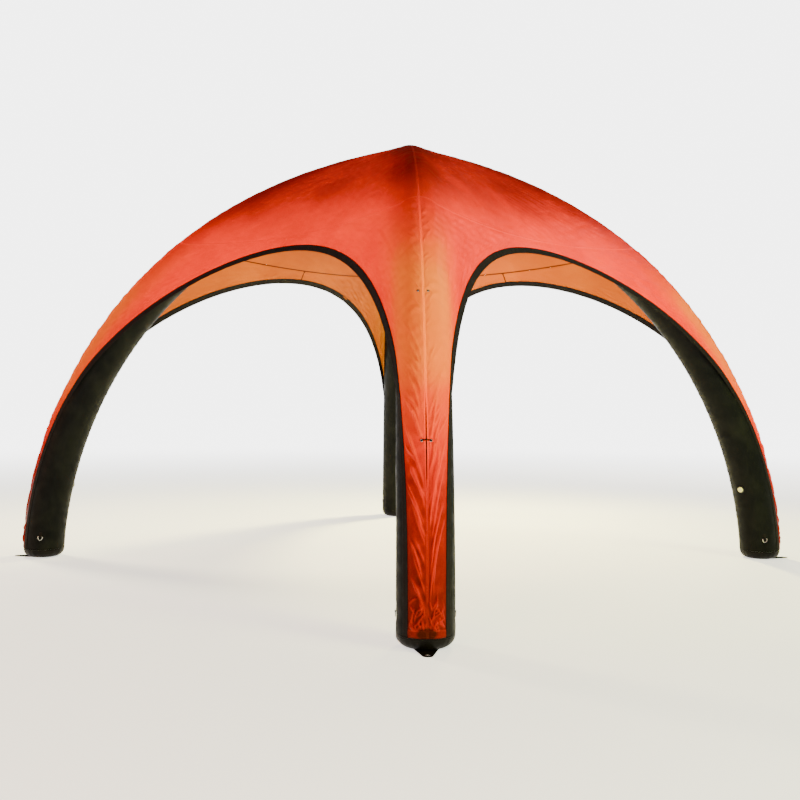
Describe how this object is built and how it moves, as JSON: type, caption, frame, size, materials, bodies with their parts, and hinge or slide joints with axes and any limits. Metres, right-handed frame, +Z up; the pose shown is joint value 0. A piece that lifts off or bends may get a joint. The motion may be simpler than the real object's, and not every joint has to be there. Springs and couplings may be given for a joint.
{
  "type": "inflatable tent",
  "caption": "Open-sided inflatable dome tent: air-filled legs bow up to one crown and stretch a cloth roof with an arch cut into every side.",
  "frame": {"origin": "on the ground under the crown, midway between the feet", "axes": "+X and +Y point square through two neighbouring archways, +Z is up"},
  "size_m": [4.3344, 4.3344, 3.2368],
  "materials": {
    "sleeve_cloth": "matte black coated polyester",
    "foot_cloth": "satin black tarpaulin",
    "air_film": "translucent polyurethane film",
    "roof_cloth": "matte orange woven polyester",
    "webbing": "ribbed black webbing",
    "valve_black": "moulded",
    "valve_yellow": "moulded pale yellow-green",
    "steel": "nickel plated"
  },
  "bodies": {
    "tent": {"leg_sleeve_southeast": "sleeve_cloth", "air_bladder_southeast": "air_film", "foot_cap_southeast": "foot_cloth", "peg_tongue_southeast": "webbing", "valve_body_southeast": "valve_black", "ring_tab_southeast_left": "webbing", "ring_tab_southeast_right": "webbing", "leg_sleeve_northeast": "sleeve_cloth", "air_bladder_northeast": "air_film", "foot_cap_northeast": "foot_cloth", "peg_tongue_northeast": "webbing", "valve_body_northeast": "valve_black", "ring_tab_northeast_left": "webbing", "ring_tab_northeast_right": "webbing", "leg_sleeve_northwest": "sleeve_cloth", "air_bladder_northwest": "air_film", "foot_cap_northwest": "foot_cloth", "peg_tongue_northwest": "webbing", "valve_body_northwest": "valve_black", "ring_tab_northwest_left": "webbing", "ring_tab_northwest_right": "webbing", "leg_sleeve_southwest": "sleeve_cloth", "air_bladder_southwest": "air_film", "foot_cap_southwest": "foot_cloth", "peg_tongue_southwest": "webbing", "valve_body_southwest": "valve_black", "ring_tab_southwest_left": "webbing", "ring_tab_southwest_right": "webbing", "roof_top_south": "roof_cloth", "roof_strip_south_southeast": "roof_cloth", "roof_strip_south_southwest": "roof_cloth", "arch_binding_south": "webbing", "roof_top_east": "roof_cloth", "roof_strip_east_northeast": "roof_cloth", "roof_strip_east_southeast": "roof_cloth", "arch_binding_east": "webbing", "roof_top_north": "roof_cloth", "roof_strip_north_northwest": "roof_cloth", "roof_strip_north_northeast": "roof_cloth", "arch_binding_north": "webbing", "roof_top_west": "roof_cloth", "roof_strip_west_southwest": "roof_cloth", "roof_strip_west_northwest": "roof_cloth", "arch_binding_west": "webbing"},
    "foot_ring_southeast_left": {"foot_ring_southeast_left": "steel"},
    "foot_ring_southeast_right": {"foot_ring_southeast_right": "steel"},
    "valve_cap_southeast": {"valve_cap_southeast": "valve_yellow"},
    "valve_pin_southeast": {"valve_pin_southeast": "steel"},
    "foot_ring_northeast_left": {"foot_ring_northeast_left": "steel"},
    "foot_ring_northeast_right": {"foot_ring_northeast_right": "steel"},
    "valve_cap_northeast": {"valve_cap_northeast": "valve_yellow"},
    "valve_pin_northeast": {"valve_pin_northeast": "steel"},
    "foot_ring_northwest_left": {"foot_ring_northwest_left": "steel"},
    "foot_ring_northwest_right": {"foot_ring_northwest_right": "steel"},
    "valve_cap_northwest": {"valve_cap_northwest": "valve_yellow"},
    "valve_pin_northwest": {"valve_pin_northwest": "steel"},
    "foot_ring_southwest_left": {"foot_ring_southwest_left": "steel"},
    "foot_ring_southwest_right": {"foot_ring_southwest_right": "steel"},
    "valve_cap_southwest": {"valve_cap_southwest": "valve_yellow"},
    "valve_pin_southwest": {"valve_pin_southwest": "steel"}
  },
  "joints": [
    {"name": "foot_ring_southeast_left_swing", "type": "hinge", "parent": "tent", "child": "foot_ring_southeast_left", "pos_m": [2.09277, -1.87922, 0.16998], "axis": [0.7326, -0.6707, 0.1161], "range_deg": [0, 175]},
    {"name": "foot_ring_southeast_right_swing", "type": "hinge", "parent": "tent", "child": "foot_ring_southeast_right", "pos_m": [1.87922, -2.09277, 0.16998], "axis": [-0.6707, 0.7326, -0.1161], "range_deg": [0, 175]},
    {"name": "valve_cap_southeast_off", "type": "slide", "parent": "tent", "child": "valve_cap_southeast", "axis": [-0.9747, 0.1147, -0.1918], "range_m": [0, 0.03]},
    {"name": "valve_pin_southeast_press", "type": "slide", "parent": "tent", "child": "valve_pin_southeast", "axis": [-0.9747, 0.1147, -0.1918], "range_m": [-0.003, 0], "stiffness_N_per_m": 400, "springref_m": 0.002},
    {"name": "foot_ring_northeast_left_swing", "type": "hinge", "parent": "tent", "child": "foot_ring_northeast_left", "pos_m": [1.87922, 2.09277, 0.16998], "axis": [0.6707, 0.7326, 0.1161], "range_deg": [0, 175]},
    {"name": "foot_ring_northeast_right_swing", "type": "hinge", "parent": "tent", "child": "foot_ring_northeast_right", "pos_m": [2.09277, 1.87922, 0.16998], "axis": [-0.7326, -0.6707, -0.1161], "range_deg": [0, 175]},
    {"name": "valve_cap_northeast_off", "type": "slide", "parent": "tent", "child": "valve_cap_northeast", "axis": [-0.1147, -0.9747, -0.1918], "range_m": [0, 0.03]},
    {"name": "valve_pin_northeast_press", "type": "slide", "parent": "tent", "child": "valve_pin_northeast", "axis": [-0.1147, -0.9747, -0.1918], "range_m": [-0.003, 0], "stiffness_N_per_m": 400, "springref_m": 0.002},
    {"name": "foot_ring_northwest_left_swing", "type": "hinge", "parent": "tent", "child": "foot_ring_northwest_left", "pos_m": [-2.09277, 1.87922, 0.16998], "axis": [-0.7326, 0.6707, 0.1161], "range_deg": [0, 175]},
    {"name": "foot_ring_northwest_right_swing", "type": "hinge", "parent": "tent", "child": "foot_ring_northwest_right", "pos_m": [-1.87922, 2.09277, 0.16998], "axis": [0.6707, -0.7326, -0.1161], "range_deg": [0, 175]},
    {"name": "valve_cap_northwest_off", "type": "slide", "parent": "tent", "child": "valve_cap_northwest", "axis": [0.9747, -0.1147, -0.1918], "range_m": [0, 0.03]},
    {"name": "valve_pin_northwest_press", "type": "slide", "parent": "tent", "child": "valve_pin_northwest", "axis": [0.9747, -0.1147, -0.1918], "range_m": [-0.003, 0], "stiffness_N_per_m": 400, "springref_m": 0.002},
    {"name": "foot_ring_southwest_left_swing", "type": "hinge", "parent": "tent", "child": "foot_ring_southwest_left", "pos_m": [-1.87922, -2.09277, 0.16998], "axis": [-0.6707, -0.7326, 0.1161], "range_deg": [0, 175]},
    {"name": "foot_ring_southwest_right_swing", "type": "hinge", "parent": "tent", "child": "foot_ring_southwest_right", "pos_m": [-2.09277, -1.87922, 0.16998], "axis": [0.7326, 0.6707, -0.1161], "range_deg": [0, 175]},
    {"name": "valve_cap_southwest_off", "type": "slide", "parent": "tent", "child": "valve_cap_southwest", "axis": [0.1147, 0.9747, -0.1918], "range_m": [0, 0.03]},
    {"name": "valve_pin_southwest_press", "type": "slide", "parent": "tent", "child": "valve_pin_southwest", "axis": [0.1147, 0.9747, -0.1918], "range_m": [-0.003, 0], "stiffness_N_per_m": 400, "springref_m": 0.002}
  ]
}
